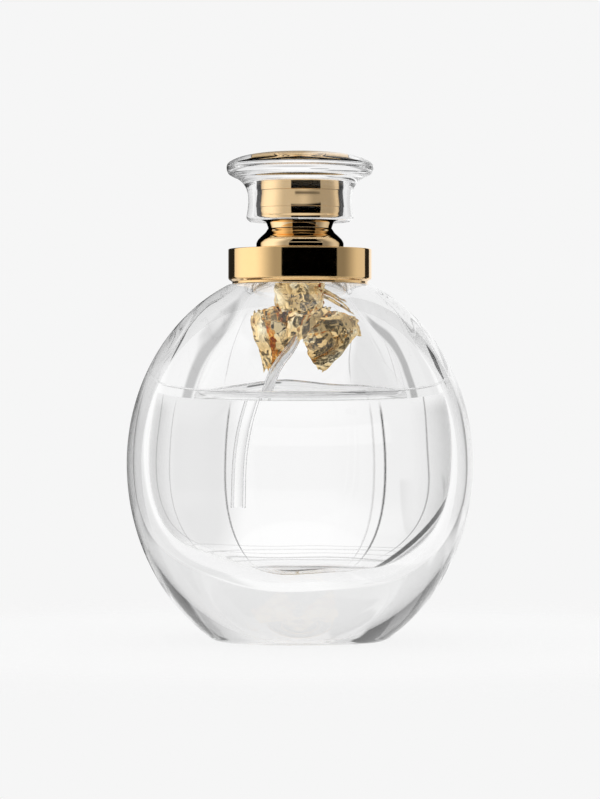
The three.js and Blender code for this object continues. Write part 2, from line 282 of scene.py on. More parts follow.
def turned_mesh(outline, closed, sides):
    """Vertices and faces of an outline, in millimetres, turned about the z axis.

    An open outline runs from the axis back to the axis. Also gives each face's middle height.
    """
    vertices, faces, heights = [], [], []
    rows = []
    for r, z in outline:
        if r < 1e-6:
            rows.append([len(vertices)] * sides)
            vertices.append((0.0, 0.0, z * MM))
            continue
        rows.append(list(range(len(vertices), len(vertices) + sides)))
        for k in range(sides):
            a = TURN * k / sides
            vertices.append((r * MM * math.sin(a), -r * MM * math.cos(a), z * MM))
    pairs = list(zip(range(len(rows) - 1), range(1, len(rows))))
    if closed:
        pairs.append((len(rows) - 1, 0))
    for low, high in pairs:
        middle = (outline[low][1] + outline[high][1]) / 2
        for k in range(sides):
            n = (k + 1) % sides
            corners = (rows[low][k], rows[low][n], rows[high][n], rows[high][k])
            face = tuple(dict.fromkeys(corners))
            if len(face) > 2:
                faces.append(face)
                heights.append(middle)
    return vertices, faces, heights


def turned(name, outline, material, closed=True, sides=SIDES):
    vertices, faces, _ = turned_mesh(outline, closed, sides)
    return new_object(name, vertices, faces, [material])


def settle(piece, body, slot, *nodes):
    """Tells the frame which body a piece rides on and hides the nodes that it stands for. The slot is not
    used.
    """
    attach(piece, body)
    if nodes:
        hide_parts(*nodes)


# ---------------------------------------------------------------- materials


class Shader:
    """A node material with one Principled shader and short ways to add nodes to it."""

    def __init__(self, name, **sockets):
        self.material = bpy.data.materials.new(name)
        self.material.use_nodes = True
        self.nodes = self.material.node_tree.nodes
        self.links = self.material.node_tree.links
        self.surface = self.nodes["Principled BSDF"]
        for socket, value in sockets.items():
            self.surface.inputs[socket.replace("_", " ")].default_value = value

    def node(self, kind, links=(), **values):
        """A new node. Values that name a property are set on it, the others are its inputs."""
        made = self.nodes.new(kind)
        for key, value in values.items():
            if hasattr(made, key):
                setattr(made, key, value)
            else:
                made.inputs[key.replace("_", " ")].default_value = value
        for socket, source in links:
            self.links.new(source, made.inputs[socket])
        return made

    def feed(self, socket, source):
        self.links.new(source, self.surface.inputs[socket])

    def place(self):
        """Object coordinates, which stay on the piece as it moves."""
        return self.node("ShaderNodeTexCoord").outputs["Object"]

    def noise(self, scale, detail=3.0, roughness=0.5, stretch=(1, 1, 1)):
        """Noise with a number of cells per metre, stretched along the axes."""
        mapping = self.node("ShaderNodeMapping", [("Vector", self.place())])
        mapping.inputs["Scale"].default_value = stretch
        noise = self.node("ShaderNodeTexNoise", [("Vector", mapping.outputs["Vector"])])
        noise.inputs["Scale"].default_value = scale
        noise.inputs["Detail"].default_value = detail
        noise.inputs["Roughness"].default_value = roughness
        return noise.outputs["Fac"]

    def spread(self, source, low, high):
        """A 0 to 1 value stretched to run from low to high."""
        mapped = self.node("ShaderNodeMapRange", [("Value", source)])
        mapped.inputs["From Min"].default_value = 0.3
        mapped.inputs["From Max"].default_value = 0.7
        mapped.inputs["To Min"].default_value = low
        mapped.inputs["To Max"].default_value = high
        return mapped.outputs["Result"]

    def blend_colours(self, source, first, second):
        mix = self.node("ShaderNodeMix", data_type="RGBA")
        self.links.new(source, mix.inputs["Factor"])
        mix.inputs[6].default_value = (*first, 1)
        mix.inputs[7].default_value = (*second, 1)
        return mix.outputs[2]

    def math(self, operation, *values, **properties):
        """A Math node on sockets and numbers."""
        node = self.node("ShaderNodeMath", operation=operation, **properties)
        for socket, value in zip(node.inputs, values):
            if isinstance(value, bpy.types.NodeSocket):
                self.links.new(value, socket)
            else:
                socket.default_value = value
        return node.outputs["Value"]

    def fade(self, source, start, end):
        """1 below start, 0 above end, smooth between them. Start above end turns it round."""
        mapped = self.node("ShaderNodeMapRange", [("Value", source)], interpolation_type="SMOOTHSTEP")
        mapped.inputs["From Min"].default_value = end
        mapped.inputs["From Max"].default_value = start
        return mapped.outputs["Result"]

    def streaks(self, streaks, low, high):
        """Fine upright lines of painted shade round a wall, from 0 to 1, that die out at two heights in
        millimetres.
        """
        place = self.node("ShaderNodeSeparateXYZ", [("Vector", self.place())]).outputs
        bearing = self.math("ARCTAN2", place["X"], self.math("MULTIPLY", place["Y"], -1.0))
        strongest = 0.0
        for middle, lean, width, strength in streaks:
            turned_by = self.math("MULTIPLY", place["Z"], math.radians(lean) / MM)
            away = self.math("SUBTRACT", self.math("SUBTRACT", bearing, math.radians(middle)), turned_by)
            near = self.fade(self.math("ABSOLUTE", away), 0.0, math.radians(width))
            strongest = self.math("MAXIMUM", self.math("MULTIPLY", near, strength), strongest)
        top = self.fade(place["Z"], (high - 3) * MM, high * MM)
        foot = self.fade(place["Z"], (low + 5) * MM, (low + 1) * MM)
        return self.math("MULTIPLY", self.math("MULTIPLY", strongest, top), foot)

    def glancing(self, start, end, strength):
        """0 where the surface faces the eye, up to a strength where it is seen at a glancing angle."""
        facing = self.node("ShaderNodeLayerWeight", Blend=0.5).outputs["Facing"]
        return self.math("MULTIPLY", self.fade(facing, start, end), strength)

    def darken(self, colour, cover):
        """A colour with the shadow of gold laid over it."""
        mix = self.node("ShaderNodeMix", data_type="RGBA")
        self.links.new(cover, mix.inputs["Factor"])
        self.links.new(colour, mix.inputs[6])
        mix.inputs[7].default_value = (*GOLD_SHADOW, 1)
        return mix.outputs[2]

    def painted_shade_level_line(self, height, half_width, strength):
        """A soft level line of painted shade round a wall, with its height and half width in millimetres."""
        z = self.node("ShaderNodeSeparateXYZ", [("Vector", self.place())]).outputs["Z"]
        away = self.math("ABSOLUTE", self.math("SUBTRACT", z, height * MM))
        return self.math("MULTIPLY", self.fade(away, 0.0, half_width * MM), strength)

    def bump(self, source, height):
        """Bump of a height in metres."""
        bump = self.node("ShaderNodeBump", [("Height", source)], Distance=height)
        self.feed("Normal", bump.outputs["Normal"])


def clear(name, ior, milkiness=0.0, painted_edge_shade=0.0, shine=1.0):
    """A clear polished material. A dark edge paints shade into its colour where it is seen at a glancing
    angle.

    Less shine weakens what it reflects of its surroundings.
    """
    shader = Shader(
        name,
        Base_Color=(*WHITE, 1),
        Roughness=0.0,
        IOR=ior,
        Transmission_Weight=1.0 - milkiness,
        Specular_Tint=(shine, shine, shine, 1),
    )
    # Painted shade: the colour turns near-black where the surface is seen at a glancing angle.
    if painted_edge_shade:
        edge = shader.glancing(0.8, 0.5, painted_edge_shade)
        shader.feed("Base Color", shader.blend_colours(edge, WHITE, NEAR_BLACK))
    return shader.material


def inner_wall(name, ior, *painted_shade_sets):
    """The inside of the glass, with painted shade in its colour: dark level lines round it and dark lines up
    it, given as (lines, low, high).
    """
    shader = Shader(name, Roughness=0.0, IOR=ior, Transmission_Weight=1.0)
    lines = [shader.painted_shade_level_line(*line) for line in PAINTED_SHADE_LEVEL_LINES]
    lines += [shader.streaks(*painted_shade_set) for painted_shade_set in painted_shade_sets]
    dark = 0.0
    for line in lines:
        dark = shader.math("MAXIMUM", line, dark)
    # The darkest painted shade line tints the glass near-black there.
    shader.feed("Base Color", shader.blend_colours(dark, WHITE, PAINTED_SHADE_BLACK))
    return shader.material


def film(name):
    """Lets everything through: the liquid's side, where the glass already bends the light."""
    material = bpy.data.materials.new(name)
    material.use_nodes = True
    tree = material.node_tree
    tree.nodes.remove(tree.nodes["Principled BSDF"])
    shader = tree.nodes.new("ShaderNodeBsdfTransparent")
    output = tree.nodes["Material Output"]
    tree.links.new(shader.outputs["BSDF"], output.inputs["Surface"])
    return material


def gilt(name, colour, roughness=0.05, painted_edge_shade=0.0):
    """Mirror gold with a fine grain. A dark edge paints shade over the gold where it is seen at a glancing
    angle.
    """
    edge_shine = 1 - painted_edge_shade
    shader = Shader(name, Metallic=1.0, Specular_Tint=(edge_shine, edge_shine, edge_shine, 1))
    grain = shader.noise(900, detail=4.0)
    deeper = tuple(0.96 * c for c in colour)
    gold = shader.blend_colours(grain, deeper, colour)
    # Painted shade of gold over the parts seen at a glancing angle.
    shader.feed("Base Color", shader.darken(gold, shader.glancing(0.59, 0.51, painted_edge_shade)))
    shader.feed("Roughness", shader.spread(grain, roughness, roughness + 0.03))
    return shader.material


def leaf_metal(name):
    """Gold leaf, finely wrinkled, with painted light on its folds, which are pale, and painted shade in its
    creases, which are amber.
    """
    shader = Shader(name, Metallic=1.0)
    rise = shader.node("ShaderNodeAttribute", attribute_name="rise").outputs["Fac"]
    patches = shader.noise(260, detail=4.0, roughness=0.55)
    depth = shader.node("ShaderNodeMapRange", [("Value", rise)])
    depth.inputs["From Min"].default_value = -0.9
    depth.inputs["From Max"].default_value = 1.1
    both = shader.math("MULTIPLY_ADD", shader.math("SUBTRACT", patches, 0.5), 0.35, depth.outputs["Result"])
    # The ramp paints shade in the creases, dark amber, and light on the fold tops, pale gold, from the fold
    # height; the noise adds random tone.
    shade = shader.node("ShaderNodeValToRGB", [("Fac", both)])
    stops = [
        (0.0, (0.5, 0.32, 0.13)),
        (0.22, (0.86, 0.6, 0.27)),
        (0.55, (0.97, 0.72, 0.36)),
        (0.85, (1.0, 0.88, 0.6)),
    ]
    ramp = shade.color_ramp.elements
    while len(ramp) < len(stops):
        ramp.new(1.0)
    for element, (place, colour) in zip(ramp, stops):
        element.position = place
        element.color = (*colour, 1)
    shader.feed("Base Color", shade.outputs["Color"])
    shader.feed("Roughness", shader.spread(patches, 0.05, 0.16))
    shader.bump(shader.noise(1800, detail=3.0), 0.00002)
    return shader.material


def resin(name, colour, roughness=0.38):
    shader = Shader(name, Subsurface_Weight=0.15, Subsurface_Scale=0.001)
    shader.surface.inputs["Subsurface Radius"].default_value = (1.0, 0.9, 0.8)
    grain = shader.noise(1500, detail=5.0)
    darker = tuple(0.95 * c for c in colour)
    shader.feed("Base Color", shader.blend_colours(grain, darker, colour))
    shader.feed("Roughness", shader.spread(grain, roughness - 0.05, roughness + 0.08))
    shader.bump(grain, 0.00001)
    return shader.material


def rubber(name):
    shader = Shader(name)
    grain = shader.noise(2500, detail=6.0)
    shader.feed("Base Color", shader.blend_colours(grain, (0.02, 0.02, 0.02), (0.05, 0.05, 0.05)))
    shader.feed("Roughness", shader.spread(grain, 0.7, 0.9))
    shader.bump(grain, 0.00003)
    return shader.material


def steel(name):
    shader = Shader(name, Metallic=1.0)
    grain = shader.noise(1200, detail=4.0, stretch=(1, 1, 8))
    shader.feed("Base Color", shader.blend_colours(grain, (0.55, 0.56, 0.58), (0.75, 0.76, 0.78)))
    shader.feed("Roughness", shader.spread(grain, 0.2, 0.35))
    return shader.material


GLASS = clear("polished_glass", GLASS_IOR)
# The inside of the glass carries painted shade: dark lines below and above the liquid.
WET_GLASS = inner_wall(
    "glass_against_liquid",
    GLASS_IOR / SCENT_IOR,
    (PAINTED_SHADE_WET_STREAKS, CAVITY_FLOOR_Z, LEVEL_Z),
    (PAINTED_SHADE_BLADE, *PAINTED_SHADE_BLADE_REACH),
)
DRY_GLASS = inner_wall("glass_against_air", GLASS_IOR, (PAINTED_SHADE_DRY_STREAKS, LEVEL_Z, DRY_TOP))
SCENT = clear("scent", SCENT_IOR)
SCENT_SIDE = film("scent_side")
ACRYLIC = clear("clear_acrylic", PLASTIC_IOR, shine=0.15)
# The dark edges of the tube are painted shade.
TUBE_PLASTIC = clear("tube_plastic", PLASTIC_IOR, milkiness=0.12, painted_edge_shade=0.6)
WET_TUBE = clear("tube_in_liquid", PLASTIC_IOR / SCENT_IOR, painted_edge_shade=0.9)
GILT = gilt("gilt_metal", (0.96, 0.65, 0.31))
# The cap metal's dark edge is painted shade.
CAP_GILT = gilt("cap_gilt", (0.98, 0.71, 0.4), roughness=0.02, painted_edge_shade=0.97)
LEAF = leaf_metal("gold_leaf")
RESIN = resin("white_resin", (0.82, 0.82, 0.80))
CLEAR_RESIN = resin("natural_resin", (0.70, 0.68, 0.62), roughness=0.3)
RUBBER = rubber("black_rubber")
STEEL = steel("spring_steel")


# ---------------------------------------------------------------- glass and liquid


def glass_body():
    """The whole bottle. Its outside, its inside below the liquid's level and above it are three materials."""
    outline = body_outline()
    inner_start = len(outline) - len(cavity_outline())
    vertices, faces, heights = turned_mesh(outline, False, BODY_SIDES)
    first_inner = 1 + (inner_start - 1) * BODY_SIDES
    for i in range(first_inner, len(vertices)):
        vertices[i] = shaped_inside(vertices[i])
    outside, wet, dry = range(3)
    first_inner_face = (inner_start - 1) * BODY_SIDES
    kinds = [outside] * first_inner_face
    kinds += [wet if height < LEVEL_Z else dry for height in heights[first_inner_face:]]
    piece = new_object("glass_body", vertices, faces, [GLASS, WET_GLASS, DRY_GLASS], kinds)
    settle(piece, "bottle", "clear_glass", "bottle")


def shaped_inside(vertex):
    """A point of the turned inside, in metres, moved to where the uneven glass has it."""
    x, y, z = (value / MM for value in vertex)
    radius = math.hypot(x, y)
    stretch = 1.0 if radius < 1e-6 else 1 + uneven(math.atan2(x, -y), z) / max(radius, 4.0)
    return x * stretch * MM, y * stretch * MM, (z + floor_tilt(x, z)) * MM


def liquid():
    """The liquid's surface, with its meniscus, and a film down its side."""
    side_gap = 0.02
    reach = 1.1  # how far from the glass the meniscus dies away
    wall = [p for p in cavity_outline(side_gap) if p[1] < LEVEL_Z + MENISCUS]
    wall_radius = wall[0][0]
    side = wall[::-1]
    surface = [
        (r, LEVEL_Z + MENISCUS * math.exp(-(wall_radius - r) / reach))
        for r in wall_radius - np.geomspace(0.02, wall_radius - 0.3, 70)
    ]
    vertices, faces, _ = turned_mesh(side + surface + [(0.0, LEVEL_Z)], False, FINE_SIDES)
    vertices = [shaped_inside(v) for v in vertices]
    side_faces = (len(side) - 1) * FINE_SIDES
    kinds = [int(i < side_faces) for i in range(len(faces))]
    piece = new_object("liquid", vertices, faces, [SCENT, SCENT_SIDE], kinds)
    settle(piece, "bottle", "perfume_liquid", "perfume")


# ---------------------------------------------------------------- dip tube


def smooth_curve(points, count):
    """Points evenly along a Catmull-Rom curve through the given ones."""
    points = np.array(points, float)
    ends = np.vstack([2 * points[0] - points[1], points, 2 * points[-1] - points[-2]])
    fine = []
    for i in range(1, len(ends) - 2):
        a, b, c, d = ends[i - 1 : i + 3]
        for t in np.linspace(0, 1, 24, endpoint=False):
            fine.append(
                0.5 * (2 * b + (c - a) * t + (2 * a - 5 * b + 4 * c - d) * t**2
                       + (3 * b - a - 3 * c + d) * t**3)
            )
    fine.append(points[-1])
    fine = np.array(fine)
    along = np.concatenate([[0], np.cumsum(np.linalg.norm(np.diff(fine, axis=0), axis=1))])
    wanted = np.linspace(0, along[-1], count)
    return np.stack([np.interp(wanted, along, fine[:, k]) for k in range(3)], axis=1)


def tube_mesh(path, radius, bore, sides=32):
    """A tube of round section along a path, open at both ends."""
    path = np.asarray(path)
    ways = np.gradient(path, axis=0)
    ways /= np.linalg.norm(ways, axis=1)[:, None]
    side = np.array((1.0, 0.0, 0.0))
    vertices, faces, heights = [], [], []
    for point, way in zip(path, ways):
        side = side - way * side.dot(way)
        side /= np.linalg.norm(side)
        other = np.cross(way, side)
        for size in (radius, bore):
            for k in range(sides):
                a = TURN * k / sides
                vertices.append(point + size * (math.cos(a) * side + math.sin(a) * other))
    ring = 2 * sides
    for i in range(len(path) - 1):
        for k in range(sides):
            n = (k + 1) % sides
            low, high = i * ring, (i + 1) * ring
            faces.append((low + k, low + n, high + n, high + k))
            faces.append((low + sides + n, low + sides + k, high + sides + k, high + sides + n))
            heights += [(path[i][2] + path[i + 1][2]) / 2] * 2
    last = (len(path) - 1) * ring
    for k in range(sides):
        n = (k + 1) % sides
        faces.append((k, sides + k, sides + n, n))
        faces.append((last + k, last + n, last + sides + n, last + sides + k))
        heights += [path[0][2], path[-1][2]]
    return vertices, faces, heights


def tube_path(count):
    """The tube's centre line in millimetres, from the pump's socket down to its cut end."""
    points = [
        (0, 0, TUBE_TOP), (0, 0, 60.2), (0, -0.1, 58.8), (-1.7, -2.6, 56), (-5.4, -3.8, 51),
        (-7.8, -2.4, 44), (-9, -1.4, 37), (-9.3, -1, 28.4),
    ]
    return smooth_curve(points, count)


def dip_tube():
    vertices, faces, heights = tube_mesh(tube_path(100) * MM, TUBE_RADIUS * MM, TUBE_BORE * MM)
    wet = [int(h < LEVEL_Z * MM) for h in heights]
    piece = new_object("clear_dip_tube", vertices, faces, [TUBE_PLASTIC, WET_TUBE], wet)
    settle(piece, "bottle", "clear_resin", "dip_tube")


# ---------------------------------------------------------------- gold leaf


def folded(at, rng, scales):
    """Height of a crumpled sheet at points (x, z): sharp folds that cross each other, coarse to fine."""
    height = np.zeros(len(at))
    for spacing, size in scales:
        for _ in range(3):
            turn, shift = rng.uniform(0, TURN), rng.uniform(0, 1)
            along = at @ np.array((math.cos(turn), math.sin(turn))) / spacing + shift
            along += 0.35 * np.sin(at @ np.array((-math.sin(turn), math.cos(turn))) / spacing * 2.1)
            height += size * (2 * np.abs(along - np.round(along)) - 0.5)
    return height


def kept_clear(points):
    """Points moved off the glass, the pump and the tube, all in millimetres."""
    lowest, highest = 50.0, 69.4
    wall_gap = 0.45
    tube_gap = 0.25
    pump_steps = [(64.8, 4.3), (61.6, 3.1), (SOCKET_Z - 0.2, 2.2)]  # the radius to keep above each height
    clear_of_tube = TUBE_RADIUS + tube_gap
    path = tube_path(60)
    for point in points:
        z = point[2] = min(max(point[2], lowest), highest)
        wall = CAVITY_RADIUS * math.sqrt(1 - ((z - CAVITY_MIDDLE_Z) / CAVITY_CROWN) ** 2) - wall_gap
        pump_radius = next((radius for height, radius in pump_steps if z > height), 0.0)
        radius = max(math.hypot(point[0], point[1]), 1e-3)
        point[:2] *= min(max(radius, pump_radius), wall) / radius
        away = point - path[np.argmin(np.linalg.norm(path - point, axis=1))]
        distance = max(np.linalg.norm(away), 1e-3)
        if distance < clear_of_tube:
            point += away / distance * (clear_of_tube - distance)
    return points


def torn_sheet(rng, corners, front, bend=22.0, bearing=0.0, crumple=1.0):
    """One crumpled sheet of leaf between four corners (x, z), smooth in its middle and torn along its edge.

    It is bent round the bottle's axis with its middle at y = front, and turned about the axis to a bearing.
    Gives its points, faces and fold heights.
    """
    steps = 84
    tear = 0.09
    roundness = 0.3  # of the sheet's corners
    square = np.stack([g.ravel() for g in np.meshgrid(*[np.linspace(-1, 1, steps)] * 2)], axis=1)
    disc = square * np.sqrt(1 - square[:, ::-1] ** 2 / 2)
    turn = np.arctan2(disc[:, 1], disc[:, 0])
    torn = np.ones(len(turn))
    for waves in range(2, 18):
        torn += rng.uniform(-tear, tear) / waves**0.5 * np.cos(waves * turn + rng.uniform(0, TURN))
    blunt = roundness * disc + (1 - roundness) * square
    across, up = (blunt * torn[:, None]).T[:, :, None]
    top_left, top_right, low_right, low_left = np.array(corners, float)
    left = (1 + up) / 2 * top_left + (1 - up) / 2 * low_left
    right = (1 + up) / 2 * top_right + (1 - up) / 2 * low_right
    flat = (1 - across) / 2 * left + (1 + across) / 2 * right
    near_edge = np.hypot(*disc.T) ** 2
    rise = folded(flat, rng, [(7.0, 0.7)])
    rise += crumple * (0.2 + 0.8 * near_edge) * folded(flat, rng, [(2.8, 0.36), (1.1, 0.12)])
    x = bend * np.sin(flat[:, 0] / bend)
    y = front + bend * (1 - np.cos(flat[:, 0] / bend)) - rise
    z = flat[:, 1] + 0.2 * rise
    a = math.radians(bearing)
    points = np.stack([x * math.cos(a) - y * math.sin(a), x * math.sin(a) + y * math.cos(a), z], axis=1)
    faces = [
        (i * steps + k, i * steps + k + 1, (i + 1) * steps + k + 1, (i + 1) * steps + k)
        for i in range(steps - 1)
        for k in range(steps - 1)
    ]
    return kept_clear(points), faces, rise


def crumpled_leaf(name, node, seed, sheets):
    """Crumpled gold leaf that stands for a CAD node, made of torn sheets."""
    rng = np.random.default_rng(seed)
    vertices, faces, rises = [], [], []
    for facts in sheets:
        points, sheet, rise = torn_sheet(rng, **facts)
        start = len(vertices)
        vertices += [tuple(p * MM) for p in points]
        faces += [tuple(start + i for i in face) for face in sheet]
        rises += list(rise)
    piece = new_object(name, vertices, faces, [LEAF])
    piece.data.attributes.new("rise", "FLOAT", "POINT").data.foreach_set("value", rises)
    body = piece.modifiers.new("thickness", "SOLIDIFY")
    body.thickness = LEAF_THICKNESS * MM
    settle(piece, "bottle", "gold_leaf", node)


def gold_leaf():
    """Two lumps under the neck, and leaf wrapped round the pump above them."""
    wrap = {"corners": [(-5.5, 69.8), (5.5, 69.8), (5.5, 62.4), (-5.5, 62.4)], "front": -4.6, "bend": 5.0}
    crumpled_leaf("leaf_left", "gold_leaf_left", 3, [
        {"corners": [(-10.0, 62.9), (1.2, 62.8), (-4.6, 52.8), (-8.0, 51.6)], "front": 0.4, "crumple": 0.6},
        {"corners": [(-10.4, 62.6), (-6.6, 62.6), (-5.9, 51.3), (-8.2, 51.6)], "front": -1.2, "crumple": 1.4},
        {"corners": [(-10.0, 62.5), (0, 62.7), (-1, 55.5), (-8.6, 53.5)], "front": 3.6},
        {**wrap, "bearing": -45},
        {**wrap, "bearing": -135},
    ])
    crumpled_leaf("leaf_right", "gold_leaf_right", 11, [
        {"corners": [(0.6, 62.6), (12.9, 62.4), (13.8, 57.4), (0.8, 56.8)], "front": 0.2, "crumple": 1.2},
        {"corners": [(0.9, 58.6), (12.6, 58.6), (5.1, 51.9), (3.8, 51.9)], "front": -0.4},
        {"corners": [(1, 62.5), (12.3, 62.5), (11, 56), (3, 54)], "front": 3.6},
        {"corners": [(-2.8, 63.6), (4, 63.6), (3.2, 58.4), (-2.6, 58.2)], "front": -2.7, "bend": 5.0},
        {"corners": [(4.4, 63.8), (6.2, 63.2), (0.9, 57.6), (-0.7, 58.2)], "front": -3.9, "crumple": 0.3},
        {**wrap, "bearing": 45},
        {**wrap, "bearing": 135},
        {"corners": [(3.0, 66.9), (11.6, 63.2), (11.6, 62.6), (3.0, 66.0)], "front": -2.4},
        {"corners": [(4.0, 67.6), (10.8, 64.0), (10.8, 63.5), (4.0, 66.9)], "front": -1.2},
        {"corners": [(2.5, 68.2), (9.6, 65.4), (9.6, 65.0), (2.5, 67.6)], "front": -3.4},
    ])


# ---------------------------------------------------------------- pump and collar


def pump_barrel():
    barrel = rounded(
        [
            (2, SOCKET_Z, 0.2), (2, 61.6, 0.3), (2.9, 62, 0.3), (2.9, 64.6, 0.4), (4.1, 65.2, 0.4),
            (4.1, 76.6, 0.2), (7, 76.6, 0.1), (7, 77.2, 0.1), (3.3, 77.2, 0.2), (3.3, 65, 0.3),
            (1.9, 64.4, 0.3), (1.9, 62.9, 0.2), (0.7, 62, 0.1), (0.7, 61.5, 0.05),
            (1.35, 61.5, 0.05), (1.35, SOCKET_Z, 0.1),
        ]
    )
    settle(turned("pump_barrel", barrel, RESIN), "bottle", "white_resin", "pump_housing")


def pump_stem():
    stem = rounded(
        [
            (0, 71.4, 0), (2.9, 71.4, 0.1), (2.9, 72, 0.1), (1.35, 72, 0.15), (1.35, 75.7, 0.1),
            (2, 75.7, 0.1), (2, 76.15, 0.1), (1.35, 76.15, 0.1), (1.35, STEM_TOP, 0.15),
            (0.6, STEM_TOP, 0.1), (0.6, 73, 0.1), (0, 73, 0),
        ],
        closed=False,
    )
    settle(turned("stem", stem, RESIN, closed=False), "stem", "white_resin", "pump_stem")


def crimp_ferrule():
    ferrule = rounded(
        [
            (6.8, 72.8, 0.1), (7.8, 72.8, 0.3), (8.1, 73.2, 0.3), (8.1, 77.9, 0.3), (7.8, 78.2, 0.3),
            (3.4, 78.2, 0.1), (3.4, 77.8, 0.1), (7.7, 77.8, 0.2), (7.7, 73.4, 0.1), (6.8, 73.2, 0.1),
        ]
    )
    settle(turned("ferrule", ferrule, GILT), "bottle", "gilt_metal", "crimp_ferrule")


def gilt_collar():
    radius, bottom, top = COLLAR_RADIUS, COLLAR_BOTTOM, COLLAR_TOP
    bore = 13.3
    ring = rounded(
        [
            (bore + 0.4, bottom, 0.12), (bore + 0.4, bottom + 0.45, 0.15),
            (radius - 0.15, bottom + 0.85, 0.15), (radius, bottom + 1.15, 0.15),
            (radius, top, 0.22), (9.2, top, 0.1), (9.2, top - 0.9, 0.05),
            (bore, top - 0.9, 0.1), (bore, bottom, 0.1),
        ]
    )
    settle(turned("gilt_collar", ring, GILT, sides=FINE_SIDES), "bottle", "gilt_metal", "collar_ring")


def spigot_insert():
    """The resin ring that carries the collar, with the spigot that the cap sits on."""
    insert = rounded(
        [
            (9.3, 72.4, 0.1), (9.3, 76.9, 0.2), (12.3, 76.9, 0.2), (12.3, 72.4, 0.1),
            (13.1, 72.4, 0.1), (13.1, 78, 0.1), (9, 78, 0.1), (9, 79, 0.1), (6.75, 79, 0.15),
            (6.75, 79.8, 0.1), (6.4, 79.8, 0.05), (6.4, 80.8, 0.05), (6.75, 80.8, 0.1),
            (6.75, SPIGOT_TOP, 0.25), (5.9, SPIGOT_TOP, 0.1), (5.9, 78.4, 0.1), (8.4, 78.4, 0.1),
            (8.4, 72.4, 0.1),
        ]
    )
    settle(turned("spigot_insert", insert, RESIN), "bottle", "white_resin", "collar_insert")


def grip_band():
    """The round ring in the spigot's groove."""
    radius, z, thickness = 6.85, 80.3, 0.8
    sides = 16
    last = 360 * (sides - 1) / sides
    band = arc(radius, z, thickness / 2, thickness / 2, 0, last, sides - 1)
    settle(turned("grip_band", band, CLEAR_RESIN), "grip_ring", "clear_resin", "grip_ring")


# ---------------------------------------------------------------- cap


def cap_metal():
    metal = turned("cap_metal", cap_metal_outline(), CAP_GILT, closed=False, sides=FINE_SIDES)
    settle(metal, "cap", "gilt_metal", "cap_liner")


def cap_lining():
    lining = rounded(
        [
            (0, 92.2, 0), (5.9, 92.2, 0.3), (5.9, 86.7, 0.1),
            (8.05, 86.7, 0.1), (8.05, 92.6, 0.2), (0, 92.6, 0),
        ],
        closed=False,
    )
    settle(turned("cap_lining", lining, RESIN, closed=False), "cap", "white_resin", "cap_sleeve")


def cap_crystal():
    crystal = turned("cap_crystal_shell", crystal_outline(), ACRYLIC, closed=False, sides=FINE_SIDES)
    settle(crystal, "cap", "clear_acrylic", "cap_crystal")


def cap_metal_outline():
    """The gilt metal: down its inside, out round the foot and up the waist, the cylinder and over the top."""
    radius, bottom, top = LINER_RADIUS, LINER_BOTTOM, LINER_TOP
    wall = 0.45
    corner = 1.5  # rounding of the cylinder's lower edge
    corner_r, corner_z = radius - corner, 86.4
    inside = rounded(
        [(0, top - wall, 0), (radius - wall, top - wall, 0.2), (radius - wall, 86.6, 0)],
        closed=False,
    )
    inside += arc(corner_r, corner_z, corner - wall, corner - wall, 0, -80, 10)
    foot = rounded(
        [
            (7.4, 85.2, 0), (6.3, 84.7, 0.2), (6.3, 83.5, 0.1), (6.05, 83.1, 0.1), (6.3, 82.8, 0.2),
            (7.5, 81.6, 0.4), (8.2, 81, 0.3), (8.35, 80.2, 0.3), (8.35, bottom, 0.1),
            (8.8, bottom, 0.12), (8.86, 80.3, 0.3), (8.5, 81, 0.3), (7.7, 81.8, 0.4),
            (7, 82.4, 0.4), (6.6, 83.05, 0.15), (6.4, 83.3, 0.08), (6.5, 83.6, 0.12), (6.8, 84.5, 0.2),
            (7.2, 84.85, 0),
        ],
        closed=False,
    )
    # Above its corner the cylinder steps out a little, leans in as it rises and steps back out near its top.
    outside = arc(corner_r, corner_z, corner, corner, -80, 0, 12)
    outside += rounded(
        [
            (radius, 86.6, 0), (radius, 87.3, 0.03), (radius + 0.12, 87.36, 0.04),
            (radius - 0.16, 90.9, 0.04), (radius, 90.98, 0.04), (radius, top, 0.2),
            (6.2, top, 0.1), (6.1, top + 0.25, 0.1), (3, top + 0.25, 0.1), (2.9, top + 0.5, 0.1),
            (0, top + 0.5, 0),
        ],
        closed=False,
    )
    return inside + foot[1:-1] + outside


def crystal_outline():
    """The clear shell: over the metal's top, which it is bonded to, down the inside and up the outside."""
    bore, floor, metal_top = LINER_RADIUS + 0.3, CRYSTAL_BOTTOM, LINER_TOP
    bond = 0.06  # how deep the metal's top sits in the clear shell
    profile = [
        (10.2, floor), (10.8, floor + 0.7), (10.6, 86.9), (10.45, 88.9), (10.65, 90.7), (11.3, 92.1),
        (12.4, 93.2), (13.6, 93.75), (14.5, 94.4), (RIM_RADIUS, 95.5), (14.5, 96.5), (12.9, 97.4),
        (10.8, 98.0), (7.9, 98.45), (4, 98.7), (0, CRYSTAL_TOP),
    ]
    outside = [(p[0], p[2]) for p in smooth_curve([(r, 0, z) for r, z in profile], 110)]
    inside = rounded(
        [
            (0, metal_top - bond, 0), (bore - 0.5, metal_top - bond, 0.1),
            (bore - 0.2, metal_top + 0.15, 0.1), (bore + 1.4, metal_top + 0.15, 0.3),
            (bore + 1.5, metal_top - 0.3, 0.2), (bore + 0.7, 92.1, 0.6), (bore + 0.1, 90.7, 0.6),
            (bore, 88.9, 0.8), (bore + 0.1, 86.9, 0.5), (bore + 0.25, floor + 0.6, 0.3),
            (bore + 0.8, floor, 0.2), (10.2, floor, 0),
        ],
        closed=False,
    )
    return inside[:-1] + outside[:-1] + [(0.0, CRYSTAL_TOP)]


# ---------------------------------------------------------------- what stays from the frame


